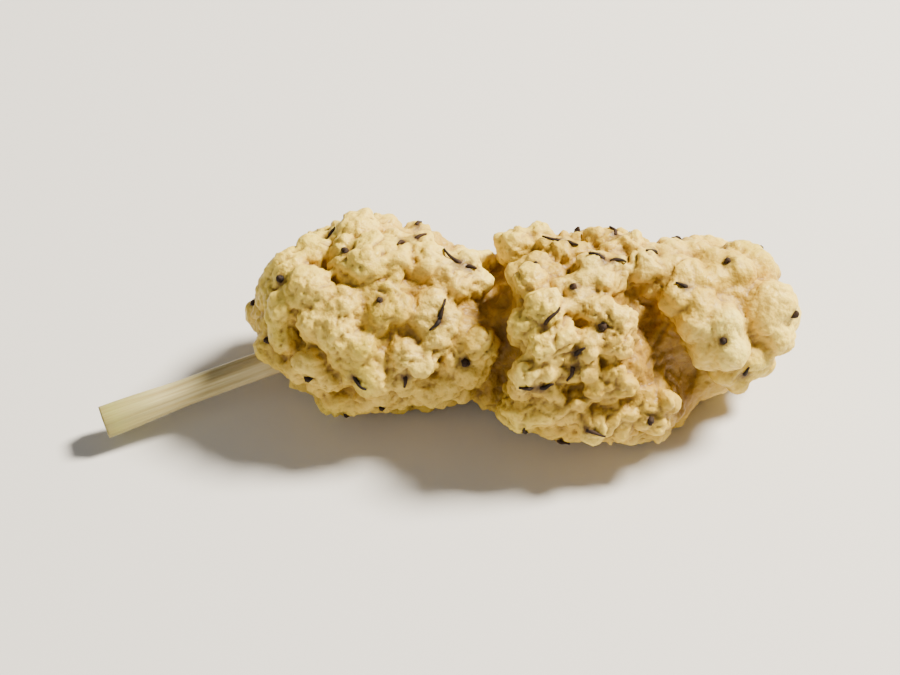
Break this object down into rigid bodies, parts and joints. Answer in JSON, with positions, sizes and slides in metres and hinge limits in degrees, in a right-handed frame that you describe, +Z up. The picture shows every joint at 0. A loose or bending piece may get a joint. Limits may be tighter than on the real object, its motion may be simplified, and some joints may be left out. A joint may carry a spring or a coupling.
{
  "type": "dried white mulberry on its stalk",
  "caption": "Shrivelled dried white mulberry lying on its side: a lumpy, folded fruit covered with small drupelets, with a thin stalk at one end.",
  "frame": {"origin": "the middle of the object's footprint, on the surface that it lies on", "axes": "+X from the stalk's picked end towards the fruit's tip, +Y towards the back as the picture shows it, +Z up"},
  "size_m": [0.0262, 0.009, 0.0073],
  "materials": {
    "dried_flesh": "dry, wrinkled, slightly translucent",
    "dry_stalk": "dry, finely ribbed"
  },
  "bodies": {
    "root": {"fruit": "dried_flesh", "stalk": "dry_stalk"}
  },
  "joints": []
}
